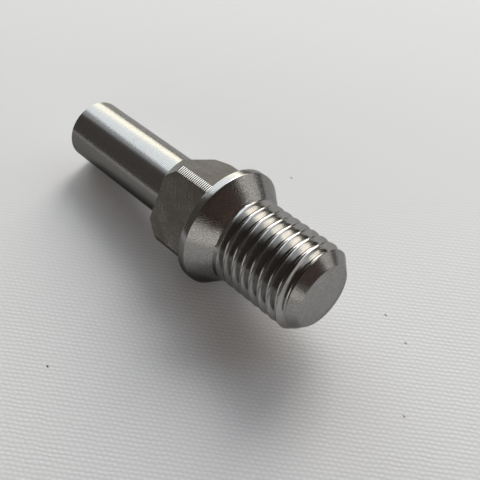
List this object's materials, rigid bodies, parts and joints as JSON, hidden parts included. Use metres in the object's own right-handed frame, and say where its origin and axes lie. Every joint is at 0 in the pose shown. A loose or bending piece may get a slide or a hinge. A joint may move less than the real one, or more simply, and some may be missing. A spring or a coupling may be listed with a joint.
{
  "type": "threaded adapter stud",
  "caption": "One-piece turned adapter stud: M16 x 2 thread, seat cone with a rim, 15 mm wrench square and plain 12 mm shank.",
  "frame": {"origin": "centre of the shank's end face, which the part stands on", "axes": "+Z along the part's axis from the shank to the thread; +X and +Y square to two of the four wrench flats"},
  "size_m": [0.0222, 0.0222, 0.0617],
  "materials": {
    "steel": "bright turned stainless steel with fine feed lines"
  },
  "bodies": {
    "root": {"turned_stud": "steel"}
  },
  "joints": []
}
